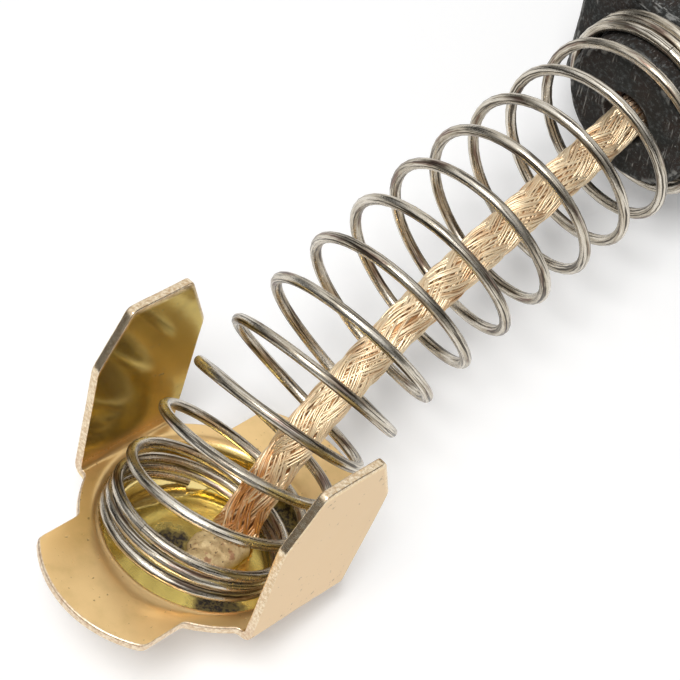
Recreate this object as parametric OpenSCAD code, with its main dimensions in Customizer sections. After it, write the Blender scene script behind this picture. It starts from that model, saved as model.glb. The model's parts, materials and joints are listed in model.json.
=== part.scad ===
// Carbon brush of a power tool: a carbon block, its compression spring, the copper
// braid that carries the current, and the sheet-brass terminal cap with two flat
// wings and two bent ears. It lies as it comes to rest on a table: the cap leans on
// the tip of one wing, the spring arches over, and the carbon rests on its far edge.
// Axes: +X runs from the cap to the carbon, +Y to the left of it, +Z up. The origin
// is on the table, under the middle of the part.

/* [Carbon block] */
// Length of the block, without its boss
block_l = 22; // [14:0.5:30]
// Width of the block
block_w = 12.4; // [11:0.1:18]
// Thickness of the block
block_t = 8.4; // [8.2:0.1:14]
// Chamfer on the block's edges
block_edge = 0.35; // [0.1:0.05:0.8]
// Diameter of the round boss that centres the spring
boss_d = 7.9; // [6:0.1:8.1]
// Length of the boss
boss_l = 2.9; // [2:0.1:6]
// Rounding at the free rim of the boss
boss_rim = 0.5; // [0.2:0.1:1]
// Fillet where the boss meets the block
boss_fillet = 0.3; // [0.1:0.05:0.6]
// Depth of the braid's hole in the carbon, from the boss's end face
hole_depth = 8; // [4:0.5:12]
// Gap between the braid and the wall of its hole, filled with tamping powder
hole_gap = 0.45; // [0.3:0.05:0.8]
// Depth of the open recess above the tamping powder
recess_depth = 0.7; // [0.3:0.1:1.5]

/* [Spring] */
// Mean diameter of the coils
coil_d = 8.8; // [8.7:0.1:9]
// Diameter of the spring wire
wire_d = 0.55; // [0.4:0.05:0.6]
// Number of open turns
open_turns = 12.8; // [8:0.1:13]
// Number of closed turns in the cap
closed_turns_cap = 2.5; // [1:0.1:3]
// Number of closed turns on the carbon's boss
closed_turns_boss = 2.2; // [1:0.1:2.5]
// Turns over which the pitch opens and closes
pitch_ramp = 0.8; // [0.4:0.1:1.5]
// Angle at which the wire's first end stands in its turn
wire_start = 223; // [0:1:360]

/* [Braid] */
// Diameter of the copper braid
braid_d = 1.9; // [1.6:0.1:2.4]
// Length of the braid's flattened foot on the cup's floor
foot_l = 3.4; // [2.6:0.1:4]
// Width of the flattened foot
foot_w = 2.4; // [2:0.1:3]
// Thickness of the flattened foot
foot_t = 0.7; // [0.5:0.1:1]
// How far the foot lies off the cup's centre, towards the lower wing
foot_x = 0.4; // [-1:0.1:0.6]
// How far the foot lies off the cup's centre, towards the right ear
foot_y = 0.8; // [-1:0.1:1.2]
// How low the braid's slack hangs near the carbon
braid_sag = 2.8; // [0:0.1:4]
// Length of braid in which a bundle goes once round it
braid_lay = 15; // [8:1:25]

/* [Terminal cap] */
// Thickness of the brass sheet
sheet_t = 0.45; // [0.3:0.05:0.6]
// Inner diameter of the drawn cup
cup_d = 10; // [9.9:0.1:10.4]
// Depth of the cup inside
cup_depth = 1.6; // [1.2:0.1:2.4]
// Inner radius at the cup's floor
cup_floor_r = 0.5; // [0.2:0.1:0.8]
// Rounding from the flange into the cup
cup_lip_r = 0.2; // [0.1:0.05:0.3]
// Diameter of the flange round the cup
flange_d = 12.5; // [12.3:0.1:14]
// Distance from one wing's tip to the other's
wing_span = 17.8; // [16:0.1:24]
// Width of the wings
wing_w = 7.5; // [6:0.1:9]
// Radius of the wings' curved tips
wing_tip_r = 5.7; // [5:0.1:12]
// Height of the ears above the flange
ear_h = 9.9; // [6:0.1:12]
// Width of the ears at their root
ear_root_w = 6.1; // [5:0.1:8]
// Width of the ears at their widest, below the sloping corners
ear_w = 6.8; // [6:0.1:9]
// Width of the ears at their tip
ear_tip_w = 3.8; // [3:0.1:5.5]
// Height of the sloping corners at the ears' tips
ear_corner_h = 3.1; // [2:0.1:5]
// Rounding of the ears' and the wings' corners
corner_r = 0.5; // [0.1:0.1:1]
// Inner radius of the ears' bend
bend_r = 0.2; // [0.1:0.05:0.3]
// Outward lean of the ears from standing square on the flange
ear_splay = 2.5; // [0:0.5:5]

/* [How it lies] */
// Lean of the cap from lying flat on its back
cap_lean = 23; // [15:1:40]
// Turn of the cap about the vertical
cap_turn = 0; // [-10:1:10]
// Angle between the first turns and the cap's floor
seat_lean = 17; // [10:1:20]
// Turn of the spring's first coils to the side
spring_turn = 1; // [-15:1:15]
// How far the first turns lie off the cup's centre, towards the raised wing
seat_shift = 1.1; // [0.2:0.1:1.2]
// Distance from the cap's centre to the carbon's shoulder
free_l = 31; // [28:0.1:36]
// Height of the carbon's shoulder above the cap's centre
rise = 4.4; // [0:0.1:6]

/* [Hidden] */
$fn = 64;

seat_gap = 0.05;             // running clearance between the spring and its seats
seam = 0.01;                 // overlap that joins two shapes into one solid
coil_r = coil_d / 2;
wire_r = wire_d / 2;
braid_r = braid_d / 2;
bundles = 4;                 // bundles of wire in the braid that turn the same way
plait_relief = 0.12 * braid_d; // how far the bundles stand out of the plait
wing_r = wing_span / 2;
cup_r = cup_d / 2;
hole_d = braid_d + 2 * hole_gap;
lip_outer_r = cup_lip_r + sheet_t;
flat_r = cup_r + lip_outer_r;           // where the flat sheet round the cup begins
bend_outer_r = bend_r + sheet_t;
bend_start = flange_d / 2 - bend_outer_r; // where each ear starts to bend
mouth_inset = boss_l - recess_depth;

// The cap's centre is high enough for the tip of the lower wing to touch the table.
cap_height = wing_r * sin(cap_lean) + sheet_t * cos(cap_lean);
// The carbon pitches down until its far lower edge touches the table.
shoulder_height = cap_height + rise;
block_diagonal = norm([block_l, block_t / 2]);
carbon_pitch = asin(shoulder_height / block_diagonal) - atan2(block_t / 2, block_l);
// The part's ends, before it is centred over the origin.
x_low = -wing_r * cos(cap_lean) - sheet_t * sin(cap_lean);
x_high = free_l + block_l * cos(carbon_pitch) + block_t / 2 * sin(carbon_pitch);
cap_centre = [-(x_low + x_high) / 2, 0, cap_height];
shoulder = cap_centre + [free_l, 0, rise];

carbon_axis = [cos(carbon_pitch), 0, -sin(carbon_pitch)];
function cap_point(p) =
    let (q = [p[0] * cos(cap_lean) + p[2] * sin(cap_lean), p[1], p[2] * cos(cap_lean) - p[0] * sin(cap_lean)])
    cap_centre + [
        q[0] * cos(cap_turn) - q[1] * sin(cap_turn),
        q[0] * sin(cap_turn) + q[1] * cos(cap_turn),
        q[2]
    ];
first_slope = 90 - cap_lean - seat_lean;
first_axis = [
    cos(first_slope) * cos(spring_turn),
    cos(first_slope) * sin(spring_turn),
    sin(first_slope)
];

// The spring's centre line is a cubic curve from the cup to the shoulder. Its handles
// are near a third of the free length, so equal steps along it are nearly equal lengths.
handle = free_l * 0.35;
closed_pitch = wire_d + 0.02;
// The lowest point of the first turn rests on the cup's floor.
seat_drop = max([for (u = [0 : 0.02 : 1]) -coil_r * sin(seat_lean) * cos(360 * u + wire_start) - closed_pitch * u]);
seat_lift = seat_drop + wire_r + seat_gap - cup_depth;
line_start = cap_point([-seat_shift, 0, seat_lift]);
line_end = shoulder - (wire_r + seat_gap) * carbon_axis;
line_knots = [
    line_start,
    line_start + handle * first_axis,
    line_end - handle * carbon_axis,
    line_end
];
line_l = norm(line_end - line_start) * 1.03;

// Point on a cubic curve at 0 to 1, and the direction there.
function curve(k, t) =
    pow(1 - t, 3) * k[0] + 3 * pow(1 - t, 2) * t * k[1]
    + 3 * (1 - t) * t * t * k[2] + t * t * t * k[3];
function unit(v) = v / norm(v);
function heading(k, t) = unit(
    pow(1 - t, 2) * (k[1] - k[0]) + 2 * (1 - t) * t * (k[2] - k[1]) + t * t * (k[3] - k[2])
);
// Two directions square to a heading: one as upright as can be, one to its side.
function side_of(h) = unit(cross(h, [0, 0, 1]));
function upright_of(h) = cross(side_of(h), h);

// Spring: how far along the centre line the wire has come after so many turns. The
// closed turns lie one wire apart, and the pitch ramps up and down between them.
all_turns = closed_turns_cap + open_turns + closed_turns_boss;
open_rise = (line_l - closed_pitch * all_turns) / (open_turns - pitch_ramp);
function ramped(x) = x < 0 ? 0 : x < pitch_ramp ? x * x / (2 * pitch_ramp) : x - pitch_ramp / 2;
function advance(u) = closed_pitch * u + open_rise
    * (ramped(u - closed_turns_cap) - ramped(u - closed_turns_cap - open_turns + pitch_ramp));
function outward(u) =
    let (h = heading(line_knots, advance(u) / line_l), a = 360 * u + wire_start)
    cos(a) * upright_of(h) + sin(a) * side_of(h);
function wire_point(u) = curve(line_knots, advance(u) / line_l) + coil_r * outward(u);

// Braid: from the far end of its foot on the cup's floor, up through the coils and into
// the carbon.
braid_low = cap_point([foot_x + (foot_l - foot_w) + 0.1, 0.1 - foot_y, foot_t - cup_depth]);
mouth = shoulder - mouth_inset * carbon_axis;
hole_end = shoulder + (hole_depth - boss_l) * carbon_axis;
braid_knots = [
    braid_low,
    braid_low + handle * first_axis,
    mouth - free_l / 4 * carbon_axis - [0, 0, braid_sag],
    mouth
];

// The plait: bundles wound both ways stand out as crossing ridges.
function plait_r(angle, along) =
    let (turn = 360 * along / braid_lay)
    braid_r - plait_relief * (1 - max(cos(bundles * (angle - turn)), cos(bundles * (angle + turn)))) / 2;

// Points round a centre at these radii, in a plane square to a way, starting at a normal.
function ring(centre, way, normal, radii) =
    let (side = unit(cross(way, normal)), out = cross(side, way), step = 360 / len(radii))
    [for (k = [0 : len(radii) - 1]) centre + radii[k] * (cos(k * step) * out + sin(k * step) * side)];

// Way of a line of points at one of them.
function way_at(points, i) = unit(points[min(i + 1, len(points) - 1)] - points[max(i - 1, 0)]);

// One closed surface through rings of points, all with the same count.
module skin(rings) {
    sides = len(rings[0]);
    last = len(rings) - 1;
    walls = [
        for (i = [0 : last - 1], k = [0 : sides - 1])
            let (a = i * sides + k, b = i * sides + (k + 1) % sides)
            each [[a, a + sides, b], [b, a + sides, b + sides]]
    ];
    near_end = [for (k = [0 : sides - 1]) k];
    far_end = [for (k = [sides - 1 : -1 : 0]) last * sides + k];
    polyhedron([for (ring = rings) each ring], concat([near_end], walls, [far_end]), convexity = 10);
}

// A run of corners, each cut short by a small curve. The run comes from one point and
// goes on to another.
function eased(corners, reach, from, to, steps = 4) = [
    for (i = [0 : len(corners) - 1])
        let (
            corner = corners[i],
            before = corner + reach * unit((i > 0 ? corners[i - 1] : from) - corner),
            after = corner + reach * unit((i < len(corners) - 1 ? corners[i + 1] : to) - corner)
        )
        for (k = [0 : steps])
            let (t = k / steps)
            pow(1 - t, 2) * before + 2 * (1 - t) * t * corner + t * t * after
];

// Points of an arc in a plane outline.
function arc(centre, r, from, to, steps = 5) = [
    for (i = [0 : steps])
        let (a = from + (to - from) * i / steps)
        centre + r * [cos(a), sin(a)]
];

module on_cap() {
    translate(cap_centre) rotate([0, 0, cap_turn]) rotate([0, cap_lean, 0]) children();
}

module on_carbon() {
    translate(shoulder) rotate([0, carbon_pitch, 0]) children();
}

// Drawn cup: one section turned about its axis, out to where the flat sheet begins.
module cup() {
    floor_outer_r = cup_floor_r + sheet_t;
    section = concat(
        [[0, -cup_depth]],
        arc([cup_r - cup_floor_r, cup_floor_r - cup_depth], cup_floor_r, -90, 0),
        arc([cup_r + lip_outer_r, -lip_outer_r], lip_outer_r, 180, 90),
        [[flat_r + 2 * seam, 0], [flat_r + 2 * seam, -sheet_t]],
        arc([cup_r + lip_outer_r, -lip_outer_r], cup_lip_r, 90, 180),
        arc([cup_r - cup_floor_r, cup_floor_r - cup_depth], floor_outer_r, 0, -90),
        [[0, -cup_depth - sheet_t]]
    );
    rotate_extrude() polygon(section);
}

// One wing, from the cap's centre out: a strip with a curved tip and eased corners.
module wing() {
    half = wing_w / 2;
    centre = [wing_r - wing_tip_r, 0];
    corner_angle = asin(half / wing_tip_r);
    eased_angle = corner_angle - corner_r / wing_tip_r * 180 / PI;
    side_end = centre[0] + wing_tip_r * cos(corner_angle) - corner_r;
    polygon(concat(
        [[0, half], [0, -half], [side_end, -half]],
        arc(centre, wing_tip_r, -eased_angle, eased_angle, 16),
        [[side_end, half]]
    ));
}

// The flat sheet round the cup: the flange, the wings with their curved tips and the
// roots of the ears, out to where each ear starts to bend.
module flat_sheet() {
    translate([0, 0, -sheet_t]) linear_extrude(sheet_t) difference() {
        union() {
            circle(d = flange_d);
            for (turn = [0, 180]) rotate(turn) wing();
            square([ear_root_w, 2 * bend_start + seam], center = true);
        }
        circle(flat_r);
    }
}

// One ear: a strip bent up from the sheet, with its corners cut off at a slope.
module ear() {
    outer = flange_d / 2 + ear_h * tan(ear_splay);
    rise = (ear_h - bend_r) * [tan(ear_splay), 1];
    centre = [bend_start, bend_r];
    section = concat(
        arc(centre, bend_outer_r, -90, -ear_splay),
        [
            centre + bend_outer_r * [cos(ear_splay), -sin(ear_splay)] + rise,
            centre + bend_r * [cos(ear_splay), -sin(ear_splay)] + rise
        ],
        arc(centre, bend_r, -ear_splay, -90)
    );
    outline = concat(
        [[-ear_root_w / 2, -sheet_t], [ear_root_w / 2, -sheet_t]],
        eased(
            [
                [ear_w / 2, ear_h - ear_corner_h], [ear_tip_w / 2, ear_h],
                [-ear_tip_w / 2, ear_h], [-ear_w / 2, ear_h - ear_corner_h]
            ],
            corner_r, [ear_root_w / 2, 0], [-ear_root_w / 2, 0]
        )
    );
    intersection() {
        rotate([90, 0, 90]) translate([0, 0, -ear_w / 2]) linear_extrude(ear_w) polygon(section);
        rotate([90, 0, 0]) translate([0, 0, -outer - 1]) linear_extrude(outer + 1) polygon(outline);
    }
}

module terminal_cap() {
    color("goldenrod") on_cap() {
        cup();
        flat_sheet();
        ear();
        mirror([0, 1, 0]) ear();
    }
}

module spring() {
    steps_per_turn = 24;
    steps = ceil(all_turns * steps_per_turn);
    wire = [for (i = [0 : steps]) wire_point(all_turns * i / steps)];
    radii = [for (k = [1 : 8]) wire_r];
    color("silver")
        skin([for (i = [0 : steps]) ring(wire[i], way_at(wire, i), outward(all_turns * i / steps), radii)]);
}

// The braid's flattened foot lies flat on the cup's floor.
module braid_foot() {
    on_cap() translate([foot_x, -foot_y, seat_gap - cup_depth]) hull() {
        for (end = [-1, 1])
            translate([end * (foot_l - foot_w) / 2, 0, 0]) {
                cylinder(h = foot_t * 0.6, d = foot_w, $fn = 32);
                cylinder(h = foot_t, d = foot_w * 0.75, $fn = 32);
            }
    }
}

module shunt_braid() {
    steps = 88;
    sides = 24;
    open = [for (i = [0 : steps]) curve(braid_knots, i / steps)];
    route = concat(open, [hole_end - seat_gap * carbon_axis]);
    color("peru") {
        braid_foot();
        skin([
            for (i = [0 : steps + 1])
                let (along = line_l * i / steps)
                ring(route[i], way_at(route, i), upright_of(way_at(route, i)), [
                    for (k = [0 : sides - 1])
                        i < steps ? plait_r(360 * k / sides, along) : braid_r - plait_relief / 2
                ])
        ]);
    }
}

// Powder rammed round the end of the braid in the carbon's hole.
module tamping_fill() {
    color("saddlebrown") on_carbon() rotate([0, 90, 0]) translate([0, 0, -mouth_inset])
        difference() {
            cylinder(h = hole_depth - recess_depth, d = hole_d);
            translate([0, 0, -1]) cylinder(h = hole_depth + 2, d = braid_d + 2 * seat_gap);
        }
}

// Round boss with a softened rim and a small fillet at its root.
module boss() {
    r = boss_d / 2;
    section = concat(
        [[0, -boss_l]],
        arc([r - boss_rim, boss_rim - boss_l], boss_rim, -90, 0),
        arc([r + boss_fillet, -boss_fillet], boss_fillet, 180, 90),
        [[r + boss_fillet, seam], [0, seam]]
    );
    rotate([0, 90, 0]) rotate_extrude() polygon(section);
}

// Rectangle with cut corners.
module cut_square(a, b, cut) {
    polygon([
        [cut, 0], [a - cut, 0], [a, cut], [a, b - cut],
        [a - cut, b], [cut, b], [0, b - cut], [0, cut]
    ]);
}

module carbon_block() {
    color("dimgray") on_carbon() difference() {
        union() {
            intersection() {
                translate([0, -block_w / 2, -block_t / 2]) rotate([90, 0, 90])
                    linear_extrude(block_l) cut_square(block_w, block_t, block_edge);
                translate([0, -block_w / 2, -block_t / 2])
                    linear_extrude(block_t) cut_square(block_l, block_w, block_edge);
            }
            boss();
        }
        rotate([0, 90, 0]) translate([0, 0, -boss_l - 1]) cylinder(h = hole_depth + 1, d = hole_d);
    }
}

terminal_cap();
spring();
shunt_braid();
tamping_fill();
carbon_block();
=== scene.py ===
"""Carbon brush with its spring, braid and terminal cap, dressed for rendering."""
import json

import bpy
import numpy as np
from bpy.props import FloatProperty, FloatVectorProperty, IntProperty, PointerProperty
from mathutils import Matrix, Vector


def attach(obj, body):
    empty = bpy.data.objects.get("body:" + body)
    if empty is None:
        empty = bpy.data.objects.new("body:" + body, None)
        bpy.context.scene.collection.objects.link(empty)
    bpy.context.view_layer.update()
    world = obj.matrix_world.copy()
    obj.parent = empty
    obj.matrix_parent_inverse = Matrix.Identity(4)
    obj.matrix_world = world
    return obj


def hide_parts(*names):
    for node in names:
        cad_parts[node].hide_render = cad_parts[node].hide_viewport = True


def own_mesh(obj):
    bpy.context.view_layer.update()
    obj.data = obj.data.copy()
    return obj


bl_info = {
    "name": "Carbon brush",
    "version": (1, 0, 0),
    "blender": (4, 5, 0),
    "location": "3D View > Sidebar > Carbon brush",
    "description": "Carbon block, spring, copper braid and brass terminal cap of a carbon brush",
    "category": "Add Mesh",
}

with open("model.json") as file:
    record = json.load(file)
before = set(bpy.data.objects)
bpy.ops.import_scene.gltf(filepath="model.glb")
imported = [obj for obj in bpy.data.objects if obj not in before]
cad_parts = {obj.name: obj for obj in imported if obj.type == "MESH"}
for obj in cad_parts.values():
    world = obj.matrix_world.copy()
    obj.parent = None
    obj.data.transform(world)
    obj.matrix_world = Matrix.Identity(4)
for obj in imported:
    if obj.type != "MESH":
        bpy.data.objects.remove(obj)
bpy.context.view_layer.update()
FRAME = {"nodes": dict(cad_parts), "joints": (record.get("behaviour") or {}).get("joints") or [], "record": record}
MOUNTS = {m["name"]: m for m in FRAME["record"]["mounts"]}
MM = 0.001
TAU = 2 * np.pi

# Gaps between the closed turns, and between a piece and what it rests on.
CLOSE_GAP = 0.02 * MM
SEAT_GAP = 0.05 * MM
# The spring's centre line: its length over its chord, and its handles over the free length.
LINE_TO_CHORD = 1.03
HANDLE_SHARE = 0.35
# Distance of the ring beside a cut in the spring, in steps of the wire's path.
CUT_RING = 0.01

CAMERA_PLACE = (-0.04958, -0.04293, 0.114118)
CAMERA_RIGHT = (0.7282, -0.6847, -0.0307)
CAMERA_LOOK = (0.3057, 0.3647, -0.8795)
CAMERA_LENS = 134.6
LAMP_PLACE = (-0.130, -0.085, 0.570)
LAMP_TARGET = (-0.010, 0, 0.005)
LAMP_SIZE = 0.22
LAMP_POWER = 2.5
WINDOW_WAY = (0.84, 0.37, 0.39)


# ---------------------------------------------------------------- sizes and finishes

def length(name, description, value):
    """A size in metres, given here in millimetres."""
    return FloatProperty(
        name=name, description=description, default=value * MM, unit="LENGTH", precision=5
    )


def angle(name, description, value):
    return FloatProperty(
        name=name, description=description, default=np.radians(value), subtype="ANGLE"
    )


def colour(name, description, value):
    return FloatVectorProperty(
        name=name, description=description, default=value, size=3, min=0, max=1, subtype="COLOR"
    )


class BrushSpring(bpy.types.PropertyGroup):
    coil_d: length("Coil diameter", "Mean diameter of the coils", 8.8)
    wire_d: length("Wire diameter", "Diameter of the spring wire", 0.55)
    open_turns: FloatProperty(name="Open turns", description="Number of open turns", default=12.8)
    cap_turns: FloatProperty(name="Cap turns", description="Closed turns in the cap", default=2.5)
    boss_turns: FloatProperty(name="Boss turns", description="Closed turns on the boss", default=2.2)
    ramp: FloatProperty(name="Ramp", description="Turns over which the pitch opens", default=0.8)
    start: angle("Start", "Angle of the wire's first end", 223)
    seat_lean: angle("Seat lean", "Angle between the first turns and the cap's floor", 17)
    turn: angle("Turn", "Turn of the first coils to the side", 1)
    seat_shift: length("Seat shift", "How far the first turns lie off the cup's centre", 1.1)


class BrushBraid(bpy.types.PropertyGroup):
    diameter: length("Diameter", "Diameter over the braided bundles", 1.95)
    wire_d: length("Wire diameter", "Diameter of one fine wire", 0.10)
    bundles: IntProperty(name="Bundles", description="Bundles wound each way", default=6)
    wires: IntProperty(name="Wires", description="Fine wires in each bundle", default=8)
    lay: length("Lay", "Length in which a bundle winds once round", 16)
    sag: length("Sag", "How low the braid's slack hangs near the carbon", 2.8)
    foot_x: length("Foot X", "How far the foot lies off the cup's centre, towards the lower wing", 0.4)
    foot_y: length("Foot Y", "How far the foot lies off the cup's centre, towards the right ear", 0.8)
    foot_l: length("Foot length", "Length of the welded foot", 3.4)
    foot_w: length("Foot width", "Width of the welded foot", 2.4)
    foot_t: length("Foot thickness", "Thickness of the welded foot", 0.7)


class BrushCap(bpy.types.PropertyGroup):
    sheet: length("Sheet", "Thickness of the brass sheet", 0.45)
    cup_d: length("Cup diameter", "Inner diameter of the drawn cup", 10)
    cup_depth: length("Cup depth", "Depth of the cup inside", 1.6)
    floor_r: length("Floor radius", "Inner radius at the cup's floor", 0.5)
    lip_r: length("Lip radius", "Rounding from the flange into the cup", 0.2)
    flange_d: length("Flange diameter", "Diameter of the flange round the cup", 12.5)
    wing_span: length("Wing span", "Distance from one wing's tip to the other's", 17.8)
    wing_w: length("Wing width", "Width of the wings", 7.5)
    wing_tip_r: length("Wing tip radius", "Radius of the wings' curved tips", 5.7)
    ear_h: length("Ear height", "Height of the ears above the flange", 9.9)
    ear_root_w: length("Ear root width", "Width of the ears at their root", 6.1)
    ear_w: length("Ear width", "Width of the ears at their widest", 6.8)
    ear_tip_w: length("Ear tip width", "Width of the ears at their tip", 3.8)
    ear_corner_h: length("Ear corner height", "Height of the ears' sloping corners", 3.1)
    bend_r: length("Bend radius", "Inner radius of the ears' bend", 0.2)
    ear_splay: angle("Ear splay", "Outward lean of the ears from standing square", 2.5)


class BrushCarbon(bpy.types.PropertyGroup):
    block_l: length("Block length", "Length of the block without its boss", 22)
    block_w: length("Block width", "Width of the block", 12.4)
    block_t: length("Block thickness", "Thickness of the block", 8.4)
    edge: length("Edge", "Chamfer on the block's edges", 0.35)
    boss_d: length("Boss diameter", "Diameter of the boss that centres the spring", 7.9)
    boss_l: length("Boss length", "Length of the boss", 2.9)
    boss_rim: length("Boss rim", "Rounding at the boss's free rim", 0.5)
    boss_fillet: length("Boss fillet", "Fillet where the boss meets the block", 0.3)
    hole_d: length("Hole diameter", "Diameter of the braid's hole", 2.8)
    hole_depth: length("Hole depth", "Depth of the hole from the boss's end face", 8)
    recess: length("Recess", "Depth of the open recess above the powder", 0.7)


class BrushFinish(bpy.types.PropertyGroup):
    brass: colour("Brass", "Clean sheet brass", (0.95, 0.66, 0.31))
    # The inner brass's more golden tone is painted reflection: the warmer look brass takes where it faces more
    # brass.
    brass_inside: colour("Inner brass", "Golden brass inside the cup and the ears", (0.86, 0.68, 0.18))
    steel: colour("Steel", "Drawn spring steel", (0.74, 0.68, 0.58))
    steel_stain: colour("Steel stain", "Brown stain on the spring", (0.17, 0.085, 0.070))
    copper: colour("Copper", "Bright wires of the braid", (0.98, 0.81, 0.56))
    copper_dark: colour("Old copper", "Tarnished wires of the braid", (0.74, 0.47, 0.25))
    carbon: colour("Carbon", "Pressed carbon", (0.022, 0.023, 0.021))
    powder: colour("Powder", "Tamping powder round the braid", (0.05, 0.03, 0.025))


GROUPS = {
    "brush_spring": BrushSpring,
    "brush_braid": BrushBraid,
    "brush_cap": BrushCap,
    "brush_carbon": BrushCarbon,
    "brush_finish": BrushFinish,
}


# ---------------------------------------------------------------- lines and directions

def unit(v):
    return v / np.linalg.norm(v, axis=-1, keepdims=True)


def curve(knots, t):
    """Cubic curve through four knots: (1-t)^3 a + 3(1-t)^2 t b + 3(1-t)t^2 c + t^3 d."""
    t = np.asarray(t, float)[..., None]
    a, b, c, d = knots
    return (1 - t) ** 3 * a + 3 * (1 - t) ** 2 * t * b + 3 * (1 - t) * t * t * c + t**3 * d


def heading(knots, t):
    """Direction of the cubic curve, from its first derivative."""
    t = np.asarray(t, float)[..., None]
    a, b, c, d = knots
    return unit((1 - t) ** 2 * (b - a) + 2 * (1 - t) * t * (c - b) + t * t * (d - c))


def side_of(h):
    """Level direction square to a heading."""
    return unit(np.cross(h, [0.0, 0.0, 1.0]))


class Layout:
    """Where the cap, the carbon and the spring's centre line lie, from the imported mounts."""

    def __init__(self, scene):
        spring, cap, carbon = scene.brush_spring, scene.brush_cap, scene.brush_carbon
        back, face = MOUNTS["cap_back"], MOUNTS["contact_face"]
        self.normal = -unit(np.array(back["axis"], float))
        self.cap = np.array(back["pos_m"], float) + (cap.cup_depth + cap.sheet) * self.normal
        self.lean = np.arctan2(self.normal[0], self.normal[2])
        self.axis = unit(np.array(face["axis"], float))
        self.shoulder = np.array(face["pos_m"], float) - carbon.block_l * self.axis
        coil_r, wire_r, gap = spring.coil_d / 2, spring.wire_d / 2, SEAT_GAP
        slope = np.pi / 2 - self.lean - spring.seat_lean
        self.first = np.array([
            np.cos(slope) * np.cos(spring.turn), np.cos(slope) * np.sin(spring.turn), np.sin(slope)
        ])
        self.free_l = self.shoulder[0] - self.cap[0]
        self.handle = HANDLE_SHARE * self.free_l
        u = np.arange(0, 1.01, 0.02)
        height = coil_r * np.sin(spring.seat_lean) * np.cos(TAU * u + spring.start)
        lift = wire_r + gap - cap.cup_depth - np.min(height + (spring.wire_d + CLOSE_GAP) * u)
        start = self.on_cap(np.array([-spring.seat_shift, 0, lift]))
        end = self.shoulder - (wire_r + gap) * self.axis
        self.line = np.array([
            start, start + self.handle * self.first, end - self.handle * self.axis, end
        ])
        self.line_l = np.linalg.norm(end - start) * LINE_TO_CHORD

    def on_cap(self, p):
        """Point of the cap's own frame: turned by its lean about Y, then moved to its centre."""
        c, s = np.cos(self.lean), np.sin(self.lean)
        x, y, z = np.moveaxis(np.asarray(p, float), -1, 0)
        return np.stack([x * c + z * s, y, z * c - x * s], -1) + self.cap

    def on_carbon(self, along, level, up):
        """Point of the carbon's own frame, from its shoulder: along its axis, level and up."""
        side = np.array([0.0, 1.0, 0.0])
        rise = np.cross(self.axis, side)
        return (
            self.shoulder + along[..., None] * self.axis
            + level[..., None] * side + up[..., None] * rise
        )


# ---------------------------------------------------------------- noise and meshes

def lattice(i, j, k, seed):
    """A fixed pseudo-random number from 0 to 1 at each whole point: fract(sin(dot) * 43758.5)."""
    v = np.sin(i * 12.9898 + j * 78.233 + k * 37.719 + seed * 4.581) * 43758.5453
    return v - np.floor(v)


def noise(p, seed=0):
    """Value noise from -1 to 1: the eight lattice numbers round a point, blended smoothly."""
    cell = np.floor(p)
    f = p - cell
    f = f * f * (3 - 2 * f)
    total = 0.0
    for dx in (0, 1):
        for dy in (0, 1):
            for dz in (0, 1):
                weight = (
                    np.abs(1 - dx - f[..., 0]) * np.abs(1 - dy - f[..., 1])
                    * np.abs(1 - dz - f[..., 2])
                )
                total = total + weight * lattice(
                    cell[..., 0] + dx, cell[..., 1] + dy, cell[..., 2] + dz, seed
                )
    return 2 * total - 1


def layered(p, scale, octaves=3, seed=0):
    """Sum of noises, each twice as fine and half as strong as the one before."""
    return sum(
        noise(p / scale * 2**k + 17.3 * k, seed + k) / 2**k for k in range(octaves)
    )


def grid_faces(rows, cols):
    """Quads of a grid of rows by cols points, whose last column joins the first."""
    i = np.arange(rows - 1)[:, None]
    j = np.arange(cols)[None, :]
    k = (j + 1) % cols
    quads = np.stack([i * cols + j, i * cols + k, (i + 1) * cols + k, (i + 1) * cols + j], -1)
    return quads.reshape(-1, 4)


def new_mesh(name, points, quads, fans=(), round_ends=True):
    """One object from points, quads and triangle fans, all turned outwards as they are given.
    With round_ends off the fans are flat faces, so the wall beside them shades straight."""
    mesh = bpy.data.meshes.new(name)
    faces = [np.asarray(quads, int)] + [np.asarray(f, int) for f in fans]
    loops = np.concatenate([f.ravel() for f in faces])
    sizes = np.concatenate([np.full(len(f), f.shape[1]) for f in faces])
    mesh.vertices.add(len(points))
    mesh.vertices.foreach_set("co", np.asarray(points, np.float32).ravel())
    mesh.loops.add(len(loops))
    mesh.loops.foreach_set("vertex_index", loops.astype(np.int32))
    mesh.polygons.add(len(sizes))
    starts = np.concatenate([[0], np.cumsum(sizes)[:-1]])
    mesh.polygons.foreach_set("loop_start", starts.astype(np.int32))
    mesh.polygons.foreach_set("loop_total", sizes.astype(np.int32))
    smooth = np.full(len(sizes), True)
    smooth[len(faces[0]):] = round_ends
    mesh.polygons.foreach_set("use_smooth", smooth)
    mesh.update(calc_edges=True)
    mesh.validate()
    obj = bpy.data.objects.new(name, mesh)
    bpy.context.scene.collection.objects.link(obj)
    return obj


def fan(centre, first, cols, flip=False):
    """Triangles that close a ring of cols points on its centre point."""
    j = np.arange(cols)
    a, b = first + j, first + (j + 1) % cols
    if flip:
        a, b = b, a
    return np.stack([np.full(cols, centre), b, a], -1)


def add_values(obj, name, values):
    """Store one number for each point of the mesh."""
    layer = obj.data.attributes.new(name, "FLOAT", "POINT")
    layer.data.foreach_set("value", np.asarray(values, np.float32).ravel())


def add_vectors(obj, name, vectors):
    """Store one vector for each point of the mesh."""
    layer = obj.data.attributes.new(name, "FLOAT_VECTOR", "POINT")
    layer.data.foreach_set("vector", np.asarray(vectors, np.float32).ravel())


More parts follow.
